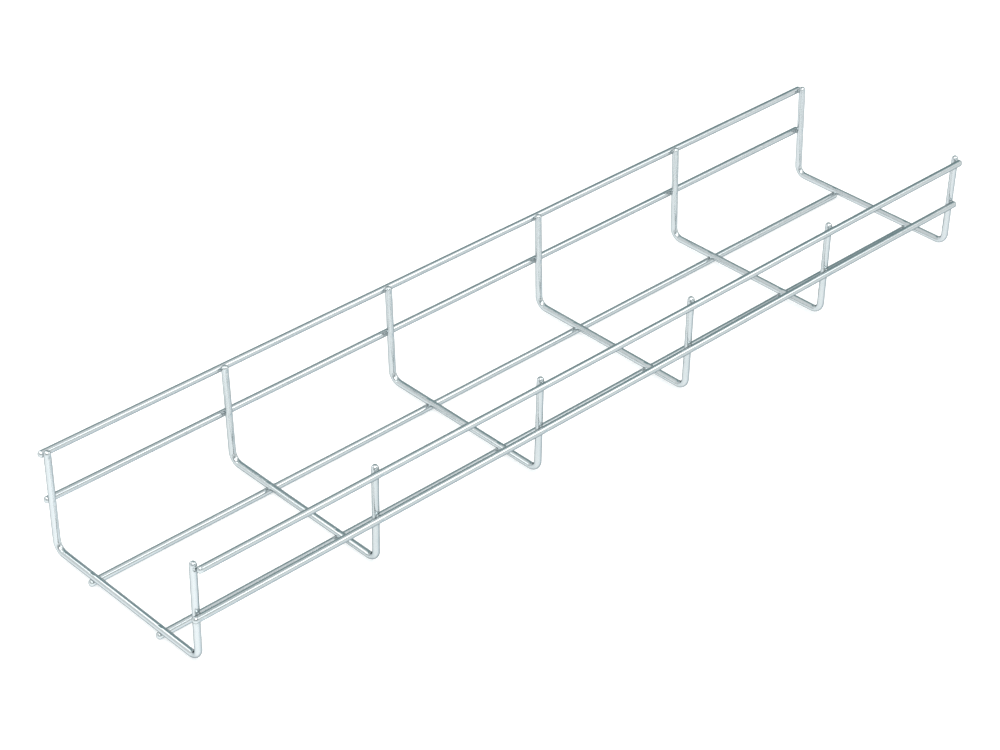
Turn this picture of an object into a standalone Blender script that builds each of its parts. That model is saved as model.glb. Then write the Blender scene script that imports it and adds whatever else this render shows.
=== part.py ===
"""Wire-mesh cable tray: U-shaped cross wires inside, straight rails welded along the outside.

The tray lies along X and opens upwards. The origin is the middle of its footprint, on the plane
that the two bottom rails rest on. +Y is the left wall and -Y the right wall, looking along +X.
"""

import math

import bmesh
import bpy
from mathutils import Matrix, Vector

MM = 0.001

# Driving dimensions, in millimetres.
WIRE_DIAMETER = 3.5
BAY_LENGTH = 100.0
BAY_COUNT = 5
INSIDE_WIDTH = 100.0
RISER_HEIGHT = 53.3  # riser tip above the floor wire's centre line
WALL_LEAN = math.radians(1.5)  # each wall springs outwards a little after bending
BEND_RADIUS = 1.5 * WIRE_DIAMETER  # to the centre line: the inside is as round as the wire
BOTTOM_RAIL_SPREAD = 50.0
MIDDLE_RAIL_HEIGHT = 25.7  # along the riser, from the floor wire's centre line
TOP_RAIL_HEIGHT = 50.5
WIRE_GAP = 0.3  # between a rail and the cross wire it is welded to
WELD_RADIUS = 1.5
WELD_CLEARANCE = 0.05  # between a weld and each wire it joins
WELD_LIP = 0.5  # the most a weld rises up the side of a wire
WELD_BULGE = 0.15

WIRE_SIDES = 20
DOME_STEPS = 4
BEND_STEPS = 8
WELD_SPOKES = 12
SMOOTH_BELOW = math.radians(35)

# Derived sizes.
WIRE_RADIUS = WIRE_DIAMETER / 2
FLAT_TO_AXIS = WIRE_RADIUS * math.cos(math.pi / WIRE_SIDES)
CROSSING_DISTANCE = WIRE_DIAMETER + WIRE_GAP  # between the two centre lines
FLOOR_HEIGHT = FLAT_TO_AXIS + CROSSING_DISTANCE
WALL_OFFSET = (INSIDE_WIDTH + WIRE_DIAMETER) / 2
CORNER_TURN = math.pi / 2 - WALL_LEAN
RAIL_LENGTH = BAY_COUNT * BAY_LENGTH + WIRE_DIAMETER  # level with the outer cross wires

BRIGHT_ZINC = (0.62, 0.67, 0.68)
PLATED_WELD = (0.50, 0.55, 0.56)


def metal(name, color, roughness):
    material = bpy.data.materials.new(name)
    material.use_nodes = True
    shader = material.node_tree.nodes["Principled BSDF"]
    shader.inputs["Base Color"].default_value = (*color, 1.0)
    shader.inputs["Roughness"].default_value = roughness
    shader.inputs["Metallic"].default_value = 1.0
    return material


def add_object(name, bm, material, place):
    """Turn a bmesh drawn in millimetres into a named object in metres."""
    bmesh.ops.scale(bm, vec=(MM, MM, MM), verts=bm.verts)
    bmesh.ops.recalc_face_normals(bm, faces=bm.faces)
    mesh = bpy.data.meshes.new(name)
    bm.to_mesh(mesh)
    bm.free()
    mesh.shade_smooth()
    mesh.set_sharp_from_angle(angle=SMOOTH_BELOW)
    mesh.materials.append(material)
    made = bpy.data.objects.new(name, mesh)
    bpy.context.collection.objects.link(made)
    made.matrix_world = place
    return made


def add_strip(bm, first, second):
    """Join two rings that have the same number of vertices."""
    count = len(first)
    for i in range(count):
        after = (i + 1) % count
        bm.faces.new((first[i], first[after], second[after], second[i]))


def dome_stations(tip, tangent, inwards):
    """Rings of a rounded wire end as (centre, tangent, radius), the smallest first.

    inwards is 1 when the tangent leads from the tip into the wire, and -1 when it leads out.
    """
    found = []
    for step in range(1, DOME_STEPS + 1):
        angle = math.pi / 2 * step / DOME_STEPS
        depth = WIRE_RADIUS * (1 - math.cos(angle))
        found.append((tip + tangent * inwards * depth, tangent, WIRE_RADIUS * math.sin(angle)))
    return found


def wire_mesh(path, side):
    """Round wire with domed ends along a planar path; side is the normal of the path's plane."""
    starts = [path[0]] + path[:-1]
    ends = path[1:] + [path[-1]]
    tangents = [(after - before).normalized() for before, after in zip(starts, ends)]
    stations = dome_stations(path[0], tangents[0], 1)
    for point, tangent in zip(path[1:-1], tangents[1:-1]):
        stations.append((point, tangent, WIRE_RADIUS))
    stations += reversed(dome_stations(path[-1], tangents[-1], -1))

    bm = bmesh.new()
    rings = []
    for point, tangent, radius in stations:
        across = tangent.cross(side)
        ring = []
        for i in range(WIRE_SIDES):
            angle = 2 * math.pi * (i + 0.5) / WIRE_SIDES  # half a step, so a flat faces down
            offset = across * math.cos(angle) + side * math.sin(angle)
            ring.append(bm.verts.new(point + offset * radius))
        rings.append(ring)
    for first, second in zip(rings, rings[1:]):
        add_strip(bm, first, second)
    for tip, ring in ((path[0], rings[0]), (path[-1], rings[-1])):
        apex = bm.verts.new(tip)
        for i in range(WIRE_SIDES):
            bm.faces.new((apex, ring[i], ring[(i + 1) % WIRE_SIDES]))
    return bm


def riser_direction(wall):
    """Up along the wall at +Y (wall = 1) or -Y (wall = -1)."""
    return Vector((0, wall * math.sin(WALL_LEAN), math.cos(WALL_LEAN)))


def wall_outward(wall):
    return Vector((0, wall * math.cos(WALL_LEAN), -math.sin(WALL_LEAN)))


def corner_point(wall):
    """Where the centre lines of the floor and the riser would meet without the bend."""
    return Vector((0, wall * WALL_OFFSET, FLOOR_HEIGHT))


def wall_path(wall):
    """Centre line of one riser, from its tip down and round the bend to the floor."""
    corner = corner_point(wall)
    tip = corner + riser_direction(wall) * (RISER_HEIGHT / math.cos(WALL_LEAN))
    tangent_length = BEND_RADIUS * math.tan(CORNER_TURN / 2)
    centre = corner + Vector((0, -wall * tangent_length, BEND_RADIUS))
    points = [tip]
    for step in range(BEND_STEPS + 1):
        angle = CORNER_TURN * (1 - step / BEND_STEPS)
        outwards = Vector((0, wall * math.sin(angle), -math.cos(angle)))
        points.append(centre + outwards * BEND_RADIUS)
    return points


def add_cross_wire(number, x):
    name = f"cross_wire_{number}"
    path = wall_path(1) + wall_path(-1)[::-1]
    bm = wire_mesh(path, Vector((1, 0, 0)))
    return add_object(name, bm, metal(name, BRIGHT_ZINC, 0.3), Matrix.Translation((x * MM, 0, 0)))


def add_rail(name, crossing, outward):
    """Straight wire along X, on the outer side of the cross wires at the given crossing."""
    half = Vector((RAIL_LENGTH / 2, 0, 0))
    axis = crossing + outward * CROSSING_DISTANCE
    bm = wire_mesh([-half, half], Vector((0, 0, 1)))
    return add_object(name, bm, metal(name, BRIGHT_ZINC, 0.3), Matrix.Translation(axis * MM))


def weld_mesh():
    """Fused metal between two crossing wires.

    Local +Z points from the cross wire to the rail; the rail runs along local X and the
    cross wire along local Y. The top follows the rail's surface and the underside follows
    the cross wire's, up to the lip.
    """
    half_distance = CROSSING_DISTANCE / 2

    def rise(sideways):
        """Height of the weld's skin at this distance to the side of the wire's axis."""
        to_wire = half_distance - math.sqrt(WIRE_RADIUS**2 - sideways**2)
        return min(to_wire - WELD_CLEARANCE, WELD_LIP)

    bm = bmesh.new()
    top_centre = bm.verts.new((0, 0, rise(0)))
    bottom_centre = bm.verts.new((0, 0, -rise(0)))
    tops = []
    bottoms = []
    for radius in (WELD_RADIUS / 2, WELD_RADIUS):
        top = []
        bottom = []
        for i in range(WELD_SPOKES):
            angle = 2 * math.pi * i / WELD_SPOKES
            x = radius * math.cos(angle)
            y = radius * math.sin(angle)
            top.append(bm.verts.new((x, y, rise(y))))
            bottom.append(bm.verts.new((x, y, -rise(x))))
        tops.append(top)
        bottoms.append(bottom)
    rim = []
    for upper, lower in zip(tops[-1], bottoms[-1]):
        middle = (upper.co + lower.co) / 2
        outwards = Vector((middle.x, middle.y, 0)).normalized()
        rim.append(bm.verts.new(middle + outwards * WELD_BULGE))

    for centre, rings in ((top_centre, tops), (bottom_centre, bottoms)):
        inner = rings[0]
        for i in range(WELD_SPOKES):
            bm.faces.new((centre, inner[i], inner[(i + 1) % WELD_SPOKES]))
        add_strip(bm, rings[0], rings[1])
        add_strip(bm, rings[1], rim)
    bmesh.ops.triangulate(bm, faces=bm.faces)
    return bm


def add_weld(name, crossing, outward, x):
    middle = crossing + outward * (CROSSING_DISTANCE / 2) + Vector((x, 0, 0))
    turn = math.atan2(-outward.y, outward.z)  # about X, from +Z to the outward direction
    place = Matrix.Translation(middle * MM) @ Matrix.Rotation(turn, 4, "X")
    return add_object(name, weld_mesh(), metal(name, PLATED_WELD, 0.4), place)


def rail_crossings():
    """Each rail's name, the point of a cross wire's centre line it crosses, and which way is out."""
    found = []
    for wall, side in ((1, "left"), (-1, "right")):
        corner = corner_point(wall)
        up = riser_direction(wall)
        out = wall_outward(wall)
        bottom = Vector((0, wall * BOTTOM_RAIL_SPREAD / 2, FLOOR_HEIGHT))
        found.append((f"{side}_top", corner + up * TOP_RAIL_HEIGHT, out))
        found.append((f"{side}_middle", corner + up * MIDDLE_RAIL_HEIGHT, out))
        found.append((f"{side}_bottom", bottom, Vector((0, 0, -1))))
    return found


def build():
    for old in list(bpy.data.objects):
        bpy.data.objects.remove(old, do_unlink=True)
    stations = [(i - BAY_COUNT / 2) * BAY_LENGTH for i in range(BAY_COUNT + 1)]
    for number, x in enumerate(stations, 1):
        add_cross_wire(number, x)
    for rail, crossing, outward in rail_crossings():
        add_rail(f"{rail}_rail", crossing, outward)
        for number, x in enumerate(stations, 1):
            add_weld(f"weld_{number}_{rail}", crossing, outward, x)


build()
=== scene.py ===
"""Looks for the wire-mesh cable tray: bright zinc-plated wire, pressed-in welds, white studio."""

import functools
import math

import bmesh
import bpy
import numpy as np
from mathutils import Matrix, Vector, noise


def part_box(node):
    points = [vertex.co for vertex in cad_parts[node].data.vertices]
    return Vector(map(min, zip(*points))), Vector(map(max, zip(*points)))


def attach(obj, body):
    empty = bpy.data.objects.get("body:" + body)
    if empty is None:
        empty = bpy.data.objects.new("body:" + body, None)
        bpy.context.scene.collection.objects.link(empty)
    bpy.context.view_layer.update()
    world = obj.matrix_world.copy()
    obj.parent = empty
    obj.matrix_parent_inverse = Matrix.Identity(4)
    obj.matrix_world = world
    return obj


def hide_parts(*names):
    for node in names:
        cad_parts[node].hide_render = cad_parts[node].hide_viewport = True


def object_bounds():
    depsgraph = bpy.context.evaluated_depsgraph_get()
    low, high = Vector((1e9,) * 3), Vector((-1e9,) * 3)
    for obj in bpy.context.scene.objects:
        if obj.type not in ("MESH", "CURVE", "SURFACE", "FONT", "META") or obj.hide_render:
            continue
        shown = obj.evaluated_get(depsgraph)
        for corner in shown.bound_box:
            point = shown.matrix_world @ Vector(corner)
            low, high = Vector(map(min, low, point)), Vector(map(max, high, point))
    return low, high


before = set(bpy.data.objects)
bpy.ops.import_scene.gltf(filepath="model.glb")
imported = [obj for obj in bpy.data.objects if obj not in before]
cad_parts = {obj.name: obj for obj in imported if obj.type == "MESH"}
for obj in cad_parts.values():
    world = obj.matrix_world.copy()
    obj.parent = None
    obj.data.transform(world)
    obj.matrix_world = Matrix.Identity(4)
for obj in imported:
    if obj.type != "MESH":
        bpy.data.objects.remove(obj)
cad_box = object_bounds()

MM = 0.001
noise.seed_set(1)  # noise_vector would be different at each run without it


def node_centre(name):
    low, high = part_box(name)
    return (low + high) / 2


def node_size(name):
    low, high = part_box(name)
    return high - low


# ---------------------------------------------------------------------------
# Sizes: the tray's, read from the frame, and the small ways a real one strays from them
# ---------------------------------------------------------------------------
RAILS = [f"{side}_{level}" for side in ("left", "right") for level in ("top", "middle", "bottom")]
STATIONS = len([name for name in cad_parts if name.startswith("cross_wire_")])

WALL_LEAN = math.radians(1.5)
CAD_WIRE_SIDES = 20
FLAT_SHARE = math.cos(math.pi / CAD_WIRE_SIDES)  # height of a CAD wire as a share of its diameter
WIRE_RADIUS = node_size("left_top_rail").z / 2 / FLAT_SHARE
BEND_RADIUS = 3 * WIRE_RADIUS  # to the wire's centre line
FLOOR_RAIL_OFFSET = node_centre("left_bottom_rail").y
CAD_FLOOR_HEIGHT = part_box("cross_wire_1")[0].z + WIRE_RADIUS * FLAT_SHARE  # of the floor wires' axes
CAD_CROSSING = CAD_FLOOR_HEIGHT - node_centre("left_bottom_rail").z  # from a rail's axis to a cross wire's

PRESSED_IN = 0.5 * MM  # how much closer the welding brings the crossing wires
CROSSING = CAD_CROSSING - PRESSED_IN
FLOOR_HEIGHT = CAD_FLOOR_HEIGHT - PRESSED_IN  # the bottom rails keep to the rest plane
KNOCK = 1.1 * MM  # the near left riser's tip stands this far out of line, along the tray
# How much longer (or shorter, below 0) than true some rails are cut at each end.
NEAR_END = {
    "right_middle": 2.5 * MM,
    "right_top": -1.4 * MM,
    "left_bottom": 0.8 * MM,
    "right_bottom": 0.8 * MM,
}
FAR_END = {
    "right_middle": -0.6 * MM,
    "right_top": -0.6 * MM,
}
# How much higher (or lower, below 0) than true some rails are welded on, at the near and the far end.
TILT = {
    "right_middle": (-0.8 * MM, -0.4 * MM),
    "right_top": (-0.4 * MM, -0.1 * MM),
}
FAR_LIFT = 0.15 * MM  # the tray is a little sprung: its far end stands this much clear of the floor
TWIST = 0.8 * MM  # and the far right corner this much more
SPRUNG_FROM = -20 * MM  # along the tray, where the rise begins
SPRUNG_TO = 200 * MM  # and where it is complete
WANDER = 0.10 * MM  # how far drawn wire strays from a true line
WANDER_LENGTH = 55.0 * MM

# scatter's channels, and how far apart it reads its seeds and channels in the noise.
DRIFT_INWARD = 1
DRIFT_SIDEWAYS = 2
START_SKEW = 3
END_SKEW = 5
TONE = 7
SEED_SPACING = 7.1
CHANNEL_SPACING = 3.3
CHANNEL_START = 0.7  # off the noise's grid points, where it is always 0


def outward(rail):
    """From the cross wires to a rail."""
    if rail.endswith("bottom"):
        return Vector((0, 0, -1))
    wall = 1 if rail.startswith("left") else -1
    return Vector((0, wall * math.cos(WALL_LEAN), -math.sin(WALL_LEAN)))


def rail_point(rail, x=0.0):
    """A rail's axis at this place along the tray, once it is pressed in."""
    point = node_centre(f"{rail}_rail")
    point.x = x
    if rail.endswith("bottom"):
        return point
    near, far = TILT.get(rail, (0.0, 0.0))
    share = (x - cad_box[0].x) / (cad_box[1].x - cad_box[0].x)
    rise = near + (far - near) * share - PRESSED_IN
    return point - outward(rail) * PRESSED_IN + Vector((0, 0, rise))


def smooth(low, high, value):
    """0 below low, 1 above high, and a soft curve between."""
    t = np.clip((value - low) / (high - low), 0.0, 1.0)
    return t * t * (3 - 2 * t)


def sprung(point):
    """Move a point of a true tray to where the bent and twisted one has it."""
    far = smooth(SPRUNG_FROM, SPRUNG_TO, point.x)
    right = 0.5 - point.y / (cad_box[1].y - cad_box[0].y)
    return point + Vector((0, 0, far * (FAR_LIFT + TWIST * right)))


def scatter(seed, channel, along=0.0):
    """Smooth random number from about -0.5 to 0.5, the same each run."""
    place = (along, seed * SEED_SPACING, channel * CHANNEL_SPACING + CHANNEL_START)
    return noise.noise(Vector(place))


# ---------------------------------------------------------------------------
# Where a wire runs
# ---------------------------------------------------------------------------
class Route:
    """Centre line of a wire in one plane, made of straights and bends, by distance along it."""

    def __init__(self, start, heading, side, pieces):
        """side is the plane's normal, and bends turn towards heading x side."""
        self.side = side
        self.length = 0.0
        self.runs = []
        point = start
        for kind, amount in pieces:
            length = amount if kind == "straight" else amount * BEND_RADIUS
            run = (self.length, length, kind, point, heading)
            self.runs.append(run)
            self.length += length
            point, heading = self.follow(run, length)

    def follow(self, run, along):
        """Point and heading at this distance into a run."""
        _, _, kind, point, heading = run
        if kind == "straight":
            return point + heading * along, heading
        inside = heading.cross(self.side)
        angle = along / BEND_RADIUS
        moved = heading * math.sin(angle) + inside * (1 - math.cos(angle))
        return point + moved * BEND_RADIUS, heading * math.cos(angle) + inside * math.sin(angle)

    def at(self, distance):
        run = [r for r in self.runs if r[0] <= distance][-1]
        return self.follow(run, min(distance - run[0], run[1]))

    def bends(self):
        """Start and end of each bend."""
        return [(start, start + length) for start, length, kind, _, _ in self.runs if kind == "bend"]


CORNER_TURN = math.pi / 2 - WALL_LEAN
TANGENT = BEND_RADIUS * math.tan(CORNER_TURN / 2)  # from a bend's end to the corner
LEFT_UP = Vector((0, math.sin(WALL_LEAN), math.cos(WALL_LEAN)))
TIP_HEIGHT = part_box("cross_wire_1")[1].z - WIRE_RADIUS * math.sin(WALL_LEAN) - CAD_FLOOR_HEIGHT
RISER_LENGTH = TIP_HEIGHT / math.cos(WALL_LEAN)  # from the corner
RISER_STRAIGHT = RISER_LENGTH - TANGENT


def corner_offset():
    """From the middle to where the axes of a floor wire and a riser would meet."""
    on_riser = rail_point("left_middle") - outward("left_middle") * CROSSING
    return on_riser.y - (on_riser.z - FLOOR_HEIGHT) * math.tan(WALL_LEAN)


def cross_route(x):
    """Down the left wall, across the floor and up the right wall."""
    corner = Vector((x, corner_offset(), FLOOR_HEIGHT))
    pieces = [
        ("straight", RISER_STRAIGHT),
        ("bend", CORNER_TURN),
        ("straight", 2 * (corner.y - TANGENT)),
        ("bend", CORNER_TURN),
        ("straight", RISER_STRAIGHT),
    ]
    return Route(corner + LEFT_UP * RISER_LENGTH, -LEFT_UP, Vector((1, 0, 0)), pieces)


def rail_route(rail):
    """Along the tray, from the near end to the far end."""
    low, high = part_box(f"{rail}_rail")
    start = rail_point(rail, low.x - NEAR_END.get(rail, 0.0))
    end = rail_point(rail, high.x + FAR_END.get(rail, 0.0))
    heading = (end - start).normalized()
    side = heading.cross(outward(rail)).normalized()
    return Route(start, heading, side, [("straight", (end - start).length)])


def crossing_distances(route, x):
    """Distance along the cross wire at x, from its left tip, to each rail."""
    found = {}
    for rail in RAILS:
        if rail.endswith("bottom"):
            distance = route.length / 2 - FLOOR_RAIL_OFFSET
        else:
            on_riser = rail_point(rail, x) - outward(rail) * CROSSING
            distance = RISER_LENGTH - (on_riser.z - FLOOR_HEIGHT) / math.cos(WALL_LEAN)
        found[rail] = distance if rail.startswith("left") else route.length - distance
    return found


def knock(number, distance):
    """How far along the tray a cross wire stands out of line, at this distance from its left tip."""
    if number != 1:
        return 0.0
    return KNOCK * max(1 - distance / RISER_STRAIGHT, 0.0)


# ---------------------------------------------------------------------------
# The skin of a wire
# ---------------------------------------------------------------------------
WIRE_SIDES = 28
DOME_STEPS = 9
DOME_SKEW = 0.10  # how far a rounded end leans off the wire's axis, as a share of its depth
COARSE_STEP = 2.0 * MM  # ring spacing on plain wire
FINE_STEP = 0.35 * MM  # ring spacing beside a weld and round a bend
WELD_REACH = 3.0 * MM  # how far to either side of a weld the rings stay close together
HEAT_REACH = 7.0 * MM  # how far the dulled zinc spreads from a weld
HEAT_CORE = 1.0 * MM
FLAT_DEPTH = 0.10  # of the flat the electrode leaves opposite a weld, as a share of the radius
FLAT_CORE = 0.9 * MM
FLAT_REACH = 1.9 * MM
LEAST_FACING = 0.1  # keeps the flat's formula clear of a division by 0
BEND_SQUEEZE = 0.035  # how far a bend makes the wire oval, as a share of the radius
SQUEEZE_REACH = 2.0 * MM
SHARP_ABOVE = math.radians(48)
RAIL_SEEDS = 20  # the cross wires' seeds are their numbers


def ring_stations(route, crossings):
    """(distance, share of the radius) of each ring, closer together at welds, bends and domes."""
    dome = []
    for step in range(1, DOME_STEPS + 1):
        angle = math.pi / 2 * step / DOME_STEPS
        dome.append((WIRE_RADIUS * (1 - math.cos(angle)), math.sin(angle)))
    busy = [(c - WELD_REACH, c + WELD_REACH) for c in crossings] + route.bends()
    body = []
    at = WIRE_RADIUS + FINE_STEP
    while at < route.length - WIRE_RADIUS - FINE_STEP:
        body.append((at, 1.0))
        fine = any(low - COARSE_STEP < at < high for low, high in busy)
        at += FINE_STEP if fine else COARSE_STEP
    return dome + body + [(route.length - depth, share) for depth, share in reversed(dome)]


def pressed_radius(turns, distance, route, crossings, weld_turn):
    """Radius round a ring, as a share of the wire's: flats opposite the welds, oval in the bends."""
    radii = np.ones(len(turns))
    opposite = np.cos(turns - weld_turn - math.pi)
    for crossing in crossings:
        depth = FLAT_DEPTH * (1 - smooth(FLAT_CORE, FLAT_REACH, abs(distance - crossing)))
        flat = (1 - depth) / np.maximum(opposite, LEAST_FACING)
        radii = np.where(opposite > 0, np.minimum(radii, flat), radii)
    for low, high in route.bends():
        into = smooth(low - SQUEEZE_REACH, low + SQUEEZE_REACH, distance)
        out_of = smooth(high - SQUEEZE_REACH, high + SQUEEZE_REACH, distance)
        radii = radii * (1 - BEND_SQUEEZE * (into - out_of) * np.cos(2 * turns))
    return radii


def axis_point(route, distance, weld_turn, seed, shift):
    """Centre of a ring and its inward direction, with the wire's drift and its skewed ends."""
    point, heading = route.at(distance)
    inside = heading.cross(route.side)
    along = distance / WANDER_LENGTH
    drift_in = abs(scatter(seed, DRIFT_INWARD, along)) * math.cos(weld_turn) * WANDER
    drift_side = scatter(seed, DRIFT_SIDEWAYS, along) * WANDER
    depth = max(WIRE_RADIUS - distance, WIRE_RADIUS - (route.length - distance), 0.0) * DOME_SKEW
    skew = START_SKEW if distance < route.length / 2 else END_SKEW
    drift_in += scatter(seed, skew) * depth
    drift_side += scatter(seed, skew + 1) * depth
    sideways = Vector((shift(distance), 0, 0))
    return point + inside * drift_in + route.side * drift_side + sideways, inside


def no_shift(_distance):
    return 0.0


def wire_piece(node, route, crossings, weld_turn, seed, material, shift=no_shift):
    """Round wire along a route.

    crossings are distances along the route where another wire is welded on, and weld_turn is
    the ring angle that faces that wire: 0 is the inside of the route's bends.
    """
    turns = np.arange(WIRE_SIDES) * 2 * math.pi / WIRE_SIDES
    vertices = []
    straightened = []  # the place on the wire if it were pulled straight, for its grain
    heat = []
    starts = []
    stations = ring_stations(route, crossings)
    for distance, share in stations:
        starts.append(len(vertices))
        centre, inside = axis_point(route, distance, weld_turn, seed, shift)
        radii = pressed_radius(turns, distance, route, crossings, weld_turn) * share * WIRE_RADIUS
        warm = 1 - smooth(HEAT_CORE, HEAT_REACH, min(abs(distance - c) for c in crossings))
        for turn, radius in zip(turns, radii):
            x = math.cos(turn) * radius
            y = math.sin(turn) * radius
            vertices.append(centre + inside * x + route.side * y)
            straightened.append((x, y, distance + seed))
            heat.append(warm)

    faces = []
    for first, second in zip(starts, starts[1:]):
        for i in range(WIRE_SIDES):
            j = (i + 1) % WIRE_SIDES
            faces.append((first + i, second + i, second + j, first + j))
    for distance, ring in ((0.0, starts[0]), (route.length, starts[-1])):
        for i in range(WIRE_SIDES):
            faces.append((len(vertices), ring + i, ring + (i + 1) % WIRE_SIDES))
        vertices.append(axis_point(route, distance, weld_turn, seed, shift)[0])
        straightened.append((0, 0, distance + seed))
        heat.append(0.0)

    mesh = bpy.data.meshes.new(f"zinc_{node}")
    mesh.from_pydata([tuple(sprung(v)) for v in vertices], [], faces)
    attribute = mesh.attributes.new("straightened", "FLOAT_VECTOR", "POINT")
    attribute.data.foreach_set("vector", np.array(straightened, dtype=np.float32).ravel())
    tone = 0.5 + scatter(seed, TONE)
    for name, values in (("heat", heat), ("tone", [tone] * len(vertices))):
        attribute = mesh.attributes.new(name, "FLOAT", "POINT")
        attribute.data.foreach_set("value", np.array(values, dtype=np.float32))
    finish_piece(mesh, node, material)


def finish_piece(mesh, node, material):
    """Add a mesh to the tray in the place of one CAD node."""
    bm = bmesh.new()
    bm.from_mesh(mesh)
    bmesh.ops.recalc_face_normals(bm, faces=bm.faces)
    bm.to_mesh(mesh)
    bm.free()
    mesh.shade_smooth()
    mesh.set_sharp_from_angle(angle=SHARP_ABOVE)
    mesh.materials.append(material)
    made = bpy.data.objects.new(mesh.name, mesh)
    bpy.context.collection.objects.link(made)
    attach(made, "root")
    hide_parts(node)


def add_cross_wires(material):
    for number in range(1, STATIONS + 1):
        node = f"cross_wire_{number}"
        x = node_centre(node).x
        route = cross_route(x)
        crossings = list(crossing_distances(route, x).values())
        shift = functools.partial(knock, number)
        wire_piece(node, route, crossings, math.pi, number, material, shift)


def add_rails(material):
    stations = [node_centre(f"cross_wire_{number}").x for number in range(1, STATIONS + 1)]
    for index, rail in enumerate(RAILS):
        route = rail_route(rail)
        start = route.at(0.0)[0].x
        crossings = [x - start for x in stations]
        wire_piece(f"{rail}_rail", route, crossings, 0.0, RAIL_SEEDS + index, material)


# ---------------------------------------------------------------------------
# Welds: a lumpy ring of metal squeezed out round each contact
# ---------------------------------------------------------------------------
BEAD_STEPS = 40
BEAD_SIDES = 14
BEAD_RADIUS = 1.10 * MM  # of the ring
BEAD_SIZE = 0.30 * MM  # of the metal in it
RING_LUMPS = 0.16  # how uneven the ring is, as a share of its radius
RING_LUMP_RATE = 2.0  # how quickly that changes round the ring
SIZE_LUMPS = 0.40
SIZE_LUMP_RATE = 1.6  # how much quicker the size changes than the ring
SKIN_LUMPS = 0.05 * MM
SKIN_LUMP_LENGTH = 0.6 * MM
WELD_SEEDS = 50
WELD_SEEDS_PER_RAIL = 10


def bead_points(seed):
    """Skin of one ring: x along the rail, y along the cross wire, z towards the rail."""
    found = []
    for i in range(BEAD_STEPS):
        turn = 2 * math.pi * i / BEAD_STEPS
        around = Vector((math.cos(turn), math.sin(turn), 0))
        place = Vector((around.x, around.y, seed)) * RING_LUMP_RATE
        ring = BEAD_RADIUS * (1 + RING_LUMPS * noise.noise(place))
        size = BEAD_SIZE * (1 + SIZE_LUMPS * noise.noise(place * SIZE_LUMP_RATE))
        x = around.x * ring
        y = around.y * ring
        between = (math.sqrt(WIRE_RADIUS**2 - x**2) - math.sqrt(WIRE_RADIUS**2 - y**2)) / 2
        for k in range(BEAD_SIDES):
            swing = 2 * math.pi * k / BEAD_SIDES
            point = around * (ring + size * math.cos(swing))
            point.z = between + size * math.sin(swing)
            lump = noise.noise_vector(point / SKIN_LUMP_LENGTH + Vector((seed, 0, 0)))
            found.append(point + lump * SKIN_LUMPS)
    return found


def bead_faces():
    found = []
    for i in range(BEAD_STEPS):
        here = i * BEAD_SIDES
        following = (i + 1) % BEAD_STEPS * BEAD_SIDES
        for k in range(BEAD_SIDES):
            j = (k + 1) % BEAD_SIDES
            found.append((here + k, here + j, following + j, following + k))
    return found


def add_welds(material):
    for rail_index, rail in enumerate(RAILS):
        out = outward(rail)
        along_rail = Vector((1, 0, 0))
        along_cross = out.cross(along_rail)
        for number in range(1, STATIONS + 1):
            x = node_centre(f"cross_wire_{number}").x
            distance = crossing_distances(cross_route(x), x)[rail]
            centre = rail_point(rail, x) - out * CROSSING / 2
            centre.x = x + knock(number, distance)
            seed = WELD_SEEDS + rail_index * WELD_SEEDS_PER_RAIL + number
            points = [
                centre + along_rail * p.x + along_cross * p.y + out * p.z
                for p in bead_points(seed)
            ]
            mesh = bpy.data.meshes.new(f"bead_{number}_{rail}")
            mesh.from_pydata([tuple(sprung(p)) for p in points], [], bead_faces())
            finish_piece(mesh, f"weld_{number}_{rail}", material)


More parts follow.
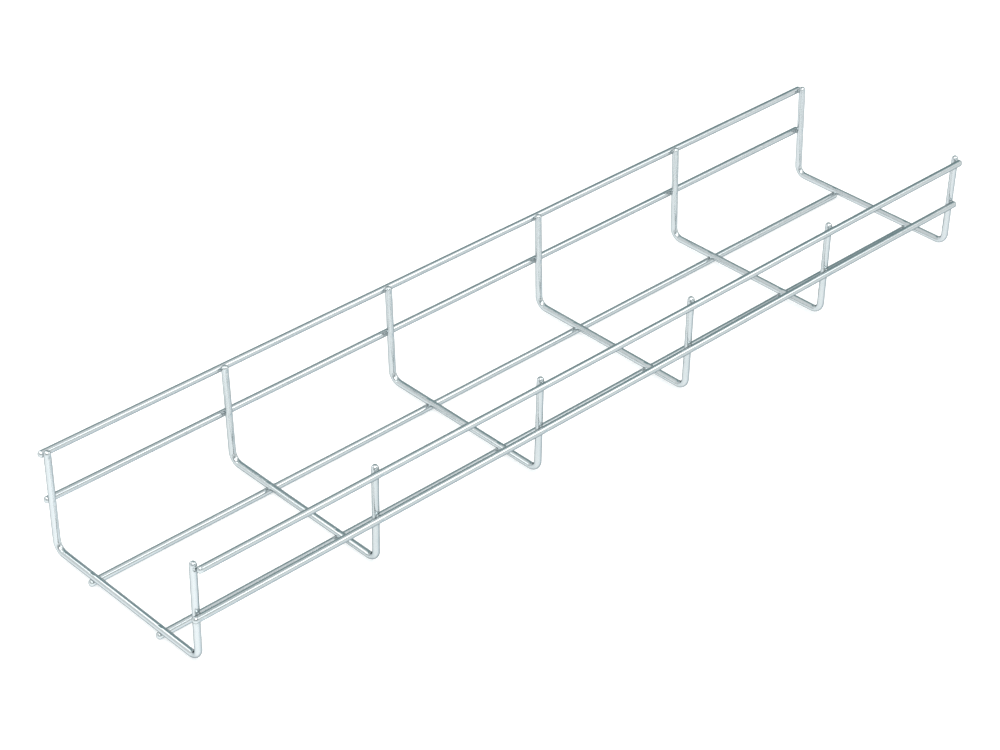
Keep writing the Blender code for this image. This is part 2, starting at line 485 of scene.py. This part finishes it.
# ---------------------------------------------------------------------------
# Materials
# ---------------------------------------------------------------------------
class Nodes:
    """Short calls for building the nodes of a material or a world."""

    def __init__(self, owner):
        owner.use_nodes = True
        self.owner = owner
        self.tree = owner.node_tree
        self.shader = self.tree.nodes.get("Principled BSDF")

    def node(self, kind, **settings):
        made = self.tree.nodes.new(kind)
        for key, value in settings.items():
            setattr(made, key, value)
        return made

    def put(self, value, socket):
        """Link a socket, or set a number or an RGB tuple."""
        if isinstance(value, bpy.types.NodeSocket):
            self.tree.links.new(value, socket)
        elif isinstance(value, tuple):
            socket.default_value = (*value, 1.0)
        else:
            socket.default_value = value

    def attribute(self, name, output="Fac"):
        return self.node("ShaderNodeAttribute", attribute_name=name).outputs[output]

    def place(self):
        return self.node("ShaderNodeTexCoord").outputs["Object"]

    def direction(self):
        """In a world: the way that is looked at from the tray."""
        return self.node("ShaderNodeTexCoord").outputs["Generated"]

    def noise(self, vector, size, detail=3.0):
        """Noise with features of this size in metres, or one size per axis."""
        sizes = size if isinstance(size, tuple) else (size, size, size)
        scaled = self.node("ShaderNodeMapping")
        scaled.inputs["Scale"].default_value = [1 / s for s in sizes]
        self.put(vector, scaled.inputs["Vector"])
        made = self.node("ShaderNodeTexNoise")
        made.inputs["Scale"].default_value = 1.0
        made.inputs["Detail"].default_value = detail
        self.put(scaled.outputs["Vector"], made.inputs["Vector"])
        return made.outputs["Fac"]

    def ramp(self, value, stops):
        made = self.node("ShaderNodeValToRGB")
        fill_ramp(made.color_ramp, stops)
        self.put(value, made.inputs["Fac"])
        return made.outputs["Color"]

    def remap(self, value, low, high, new_low, new_high):
        """From low ... high to new_low ... new_high, and level beyond them."""
        made = self.node("ShaderNodeMapRange")
        made.inputs["From Min"].default_value = low
        made.inputs["From Max"].default_value = high
        made.inputs["To Min"].default_value = new_low
        made.inputs["To Max"].default_value = new_high
        self.put(value, made.inputs["Value"])
        return made.outputs["Result"]

    def math(self, operation, first, second):
        made = self.node("ShaderNodeMath", operation=operation)
        self.put(first, made.inputs[0])
        self.put(second, made.inputs[1])
        return made.outputs["Value"]

    def blend(self, amount, first, second):
        """Mix two colours; each is a socket or an RGB tuple."""
        made = self.node("ShaderNodeMix", data_type="RGBA")
        colors = [s for s in made.inputs if s.type == "RGBA"]
        self.put(amount, made.inputs["Factor"])
        self.put(first, colors[0])
        self.put(second, colors[1])
        return [s for s in made.outputs if s.type == "RGBA"][0]

    def bump(self, height, distance, strength, under=None):
        made = self.node("ShaderNodeBump")
        made.inputs["Distance"].default_value = distance
        made.inputs["Strength"].default_value = strength
        self.put(height, made.inputs["Height"])
        if under is not None:
            self.put(under, made.inputs["Normal"])
        return made.outputs["Normal"]


def fill_ramp(ramp, stops):
    """Give a colour ramp these (position, RGB) stops."""
    while len(ramp.elements) < len(stops):
        ramp.elements.new(0.5)  # moved to its own place below
    for element, (position, color) in zip(ramp.elements, sorted(stops)):
        element.position = position
        element.color = (*color, 1.0)


ZINC_SHADES = (  # by how cloudy the plating is
    (0.30, (0.55, 0.60, 0.61)),
    (0.52, (0.575, 0.62, 0.63)),
    (0.75, (0.60, 0.64, 0.645)),
)
BLUER_ZINC = (0.59, 0.62, 0.65)  # the wires differ a little in how much of it they have
STREAK_SHADE = (0.51, 0.56, 0.57)
SCORCHED_ZINC = (0.42, 0.455, 0.46)
EDGE_TINT = (0.12, 0.15, 0.16)  # plated wire darkens where it turns edge on
DIE_LINES = (0.19 * MM, 0.19 * MM, 22 * MM)  # their size: across the wire twice, and along it
LONG_LINES = (0.6 * MM, 0.6 * MM, 110 * MM)
CLOUDS = 5.3 * MM
GRAINS = 0.38 * MM
BLOTCHES = 1.6 * MM
ZINC_RELIEF = 0.012 * MM


def zinc_material():
    """Bright zinc on drawn wire: long die lines, a faint cloudiness, and dulled patches at welds."""
    n = Nodes(bpy.data.materials.new("bright_zinc_wire"))
    straightened = n.attribute("straightened", "Vector")
    die_lines = n.noise(straightened, DIE_LINES, detail=4.0)
    long_lines = n.noise(straightened, LONG_LINES, detail=2.0)
    clouds = n.noise(straightened, CLOUDS, detail=4.0)
    grains = n.noise(straightened, GRAINS, detail=2.0)
    blotches = n.noise(straightened, BLOTCHES, detail=4.0)

    clean = n.ramp(clouds, ZINC_SHADES)
    toned = n.blend(n.remap(n.attribute("tone"), 0.0, 1.0, 0.0, 0.3), clean, BLUER_ZINC)
    streaked = n.blend(n.remap(long_lines, 0.55, 0.78, 0.0, 0.3), toned, STREAK_SHADE)
    scorch = n.math("MULTIPLY", n.attribute("heat"), n.remap(blotches, 0.35, 0.65, 0.2, 1.0))
    color = n.blend(n.remap(scorch, 0.2, 1.0, 0.0, 0.35), streaked, SCORCHED_ZINC)
    n.put(color, n.shader.inputs["Base Color"])
    n.put(1.0, n.shader.inputs["Metallic"])
    n.put(EDGE_TINT, n.shader.inputs["Specular Tint"])

    drawn = n.remap(die_lines, 0.3, 0.7, 0.13, 0.20)
    cloudy = n.remap(clouds, 0.3, 0.7, -0.02, 0.03)
    rough = n.math("ADD", n.math("ADD", drawn, cloudy), n.math("MULTIPLY", scorch, 0.12))
    n.put(rough, n.shader.inputs["Roughness"])

    height = n.math("ADD", n.math("MULTIPLY", die_lines, 0.6), n.math("MULTIPLY", long_lines, 0.5))
    height = n.math("ADD", height, n.math("MULTIPLY", grains, 0.10))
    n.put(n.bump(height, ZINC_RELIEF, 0.25), n.shader.inputs["Normal"])
    return n.owner


# The weld metal's grey, and at the dark end painted shade: the hollows of the bead and the crossings it sits
# in.
WELD_GREY_AND_PAINTED_SHADE = (
    (0.30, (0.30, 0.33, 0.34)),
    (0.46, (0.47, 0.52, 0.53)),
    (0.68, (0.57, 0.62, 0.63)),
)
WELD_SPARKLE = (0.60, 0.645, 0.65)
WELD_PATCHES = 1.1 * MM
WELD_GRAINS = 0.19 * MM
PATCH_RELIEF = 0.06 * MM
GRAIN_RELIEF = 0.02 * MM


def weld_material():
    """Squeezed-out weld metal under the same plating: lumpier and greyer, with painted shade that darkens its
    hollows and stands in for the shade where the wires meet.
    """
    n = Nodes(bpy.data.materials.new("plated_weld_metal_and_painted_shade"))
    place = n.place()
    patches = n.noise(place, WELD_PATCHES, detail=4.0)
    grains = n.noise(place, WELD_GRAINS)
    sparkle = n.remap(grains, 0.45, 0.75, 0.0, 0.5)
    # Painted shade: the colour is darkest where the lumps' height is lowest, in the hollows.
    n.put(n.blend(sparkle, n.ramp(patches, WELD_GREY_AND_PAINTED_SHADE), WELD_SPARKLE), n.shader.inputs["Base Color"])
    n.put(n.remap(patches, 0.3, 0.7, 0.40, 0.24), n.shader.inputs["Roughness"])
    n.put(1.0, n.shader.inputs["Metallic"])
    coarse = n.bump(patches, PATCH_RELIEF, 0.5)
    n.put(n.bump(grains, GRAIN_RELIEF, 0.5, under=coarse), n.shader.inputs["Normal"])
    return n.owner


FLOOR_SHADES = (
    (0.3, (0.84, 0.84, 0.84)),
    (0.7, (0.86, 0.86, 0.86)),
)
FLOOR_MOTTLE = 0.33
FLOOR_GLOW = 0.34


def floor_material():
    """White acrylic of a light table, faintly lit from below so that shadows all but vanish."""
    n = Nodes(bpy.data.materials.new("pale_floor"))
    mottle = n.noise(n.place(), FLOOR_MOTTLE, detail=2.0)
    n.put(n.ramp(mottle, FLOOR_SHADES), n.shader.inputs["Base Color"])
    n.put(0.9, n.shader.inputs["Roughness"])
    n.put(0.1, n.shader.inputs["Specular IOR Level"])
    n.put((1.0, 1.0, 1.0), n.shader.inputs["Emission Color"])
    n.put(FLOOR_GLOW, n.shader.inputs["Emission Strength"])
    return n.owner


# ---------------------------------------------------------------------------
# Studio. Turns are in degrees to the right of the camera's line of sight.
# ---------------------------------------------------------------------------
AIM = Vector((-0.0199, 0.0064, 0.0159))  # what the camera looks at
VIEW_AZIMUTH = math.radians(-42.99)  # of its line of sight; 0 looks along +Y
VIEW_ELEVATION = 34.13  # degrees
VIEW_DISTANCE = 1.2775
VIEW_LENS = 94.30  # millimetres, on a sensor of this width
SENSOR_WIDTH = 36.0

PALE = (0.94, 0.965, 0.965)
DARK_WALLS = (  # turn, half the width, shade
    (0, 40, (0.27, 0.40, 0.415)),
    (165, 50, (0.42, 0.47, 0.48)),
)
WALL_FADE = 18
# How dark a dark wall is by height, as the sine of the elevation: pale at the skirting and the ceiling.
WALL_HEIGHTS = ((0.15, 0.0), (0.40, 1.0), (0.73, 1.0), (0.83, 0.0))
# What the wire mirrors from below, by turn: pale just under the horizon, and further down bluer and darker
# on the right.
UNDER_HORIZON = (
    (-85, (0.89, 0.92, 0.93)),
    (60, (0.86, 0.88, 0.88)),
    (100, (0.86, 0.87, 0.86)),
    (140, (0.87, 0.90, 0.90)),
    (260, (0.89, 0.92, 0.93)),
)
FURTHER_DOWN = (
    (-85, (0.88, 0.91, 0.92)),
    (60, (0.84, 0.87, 0.88)),
    (80, (0.68, 0.75, 0.79)),
    (96, (0.57, 0.66, 0.71)),
    (108, (0.76, 0.82, 0.84)),
    (120, (0.89, 0.92, 0.93)),
    (140, (0.90, 0.93, 0.94)),
    (180, (0.97, 0.99, 0.99)),
    (220, (0.94, 0.96, 0.96)),
    (260, (0.88, 0.91, 0.92)),
)
BELOW_STRENGTH = 1.38
DOWN_FADE = (-0.52, -0.34)  # between the two, as the sine of the elevation
HORIZON_BLEND = 0.02
RAMP_AHEAD = 0.75  # where the line of sight falls on the round-room gradient

FLOOR_HALF = 8.0
FLOOR_GAP = 0.02 * MM  # keeps the floor just clear of the rails
NEAR_GLOW_SIZE = (0.15, 0.26)
NEAR_GLOW_PLACE = Vector((cad_box[0].x - 0.035, -0.02, 0.2 * MM))
NEAR_GLOW_RADIANCE = 0.17


def way(turn, elevation):
    """Unit vector that points this way, in degrees."""
    azimuth = math.radians(turn) - VIEW_AZIMUTH
    rise = math.radians(elevation)
    return Vector((math.sin(azimuth) * math.cos(rise), math.cos(azimuth) * math.cos(rise), math.sin(rise)))


def stand_off(made, target, away, distance):
    """Put a camera or a light this far from the target, facing it."""
    made.location = target + away * distance
    made.rotation_euler = (-away).to_track_quat("-Z", "Y").to_euler()


def add_camera():
    data = bpy.data.cameras.new("view")
    data.sensor_width = SENSOR_WIDTH
    data.lens = VIEW_LENS
    made = bpy.data.objects.new("view", data)
    bpy.context.collection.objects.link(made)
    stand_off(made, AIM, way(180, VIEW_ELEVATION), VIEW_DISTANCE)
    bpy.context.scene.camera = made


def add_floor():
    mesh = bpy.data.meshes.new("floor")
    corners = [(x * FLOOR_HALF, y * FLOOR_HALF, 0) for x, y in ((-1, -1), (1, -1), (1, 1), (-1, 1))]
    mesh.from_pydata(corners, [], [(0, 1, 2, 3)])
    mesh.materials.append(floor_material())
    made = bpy.data.objects.new("floor", mesh)
    bpy.context.collection.objects.link(made)
    made.location.z = cad_box[0].z - FLOOR_GAP
    made.visible_glossy = False  # the wire mirrors the surroundings below instead


def add_panel(name, width, height, radiance):
    """Panel of light that the camera doesn't see."""
    data = bpy.data.lights.new(name, "AREA")
    data.shape = "RECTANGLE"
    data.size = width
    data.size_y = height
    data.energy = radiance * math.pi * width * height
    made = bpy.data.objects.new(name, data)
    bpy.context.collection.objects.link(made)
    made.visible_camera = False
    return made


def add_near_glow():
    """Brighter strip of floor at the tray's near end."""
    glow = add_panel("near_glow", *NEAR_GLOW_SIZE, NEAR_GLOW_RADIANCE)
    glow.location = NEAR_GLOW_PLACE
    glow.rotation_euler = (math.pi, 0, 0)  # facing up


def add_softbox(name, turn, elevation, distance, width, height, radiance):
    """Panel of light facing the tray."""
    made = add_panel(name, width, height, radiance)
    stand_off(made, Vector((0, 0, 0)), way(turn, elevation), distance)


def by_turn(stops):
    """Stops given by turn, as places on the round-room gradient."""
    return [(RAMP_AHEAD - turn / 360, color) for turn, color in stops]


def round_room(n):
    """Gradient that runs once round the tray."""
    turned = n.node("ShaderNodeMapping")
    turned.inputs["Rotation"].default_value = (0, 0, -VIEW_AZIMUTH)
    n.put(n.direction(), turned.inputs["Vector"])
    gradient = n.node("ShaderNodeTexGradient", gradient_type="RADIAL")
    n.put(turned.outputs["Vector"], gradient.inputs["Vector"])
    return gradient.outputs["Fac"]


def wall_color(n, around, height):
    """Pale walls, with a darker one beyond the tray and one behind the camera."""
    stops = []
    for turn, half, shade in DARK_WALLS:
        stops.append((turn - half - WALL_FADE, PALE))
        stops.append((turn - half, shade))
        stops.append((turn + half, shade))
        stops.append((turn + half + WALL_FADE, PALE))
    walls = n.ramp(around, by_turn(stops))
    shaded = n.ramp(height, [(level, (share, share, share)) for level, share in WALL_HEIGHTS])
    return n.blend(shaded, PALE, walls)


def glow_color(n, around, height):
    """What comes from below, in place of the floor."""
    further_down = n.ramp(around, by_turn(FURTHER_DOWN))
    under_horizon = n.ramp(around, by_turn(UNDER_HORIZON))
    return n.blend(n.remap(height, *DOWN_FADE, 0.0, 1.0), further_down, under_horizon)


def add_surroundings():
    """The walls above the horizon and the glow below it."""
    world = bpy.data.worlds.new("studio")
    n = Nodes(world)
    around = round_room(n)
    separate = n.node("ShaderNodeSeparateXYZ")
    n.put(n.direction(), separate.inputs["Vector"])
    height = separate.outputs["Z"]

    above = n.tree.nodes["Background"]
    n.put(wall_color(n, around, height), above.inputs["Color"])
    below = n.node("ShaderNodeBackground")
    n.put(glow_color(n, around, height), below.inputs["Color"])
    n.put(BELOW_STRENGTH, below.inputs["Strength"])
    both = n.node("ShaderNodeMixShader")
    n.put(n.remap(height, -HORIZON_BLEND, HORIZON_BLEND, 0.0, 1.0), both.inputs["Fac"])
    n.put(below.outputs["Background"], both.inputs[1])
    n.put(above.outputs["Background"], both.inputs[2])
    n.put(both.outputs["Shader"], n.tree.nodes["World Output"].inputs["Surface"])
    bpy.context.scene.world = world


def add_studio():
    add_surroundings()
    add_softbox("right_softbox", turn=95, elevation=44, distance=1.15, width=0.72, height=0.5, radiance=1.8)
    add_near_glow()
    add_softbox("near_card", turn=-109, elevation=28.4, distance=0.341, width=0.12, height=0.11, radiance=1.3)
    add_softbox("key_softbox", turn=180, elevation=60, distance=2.0, width=1.15, height=1.15, radiance=4.2)
    bpy.context.scene.view_settings.view_transform = "Standard"


zinc = zinc_material()
add_cross_wires(zinc)
add_rails(zinc)
add_welds(weld_material())
add_floor()
add_studio()
add_camera()
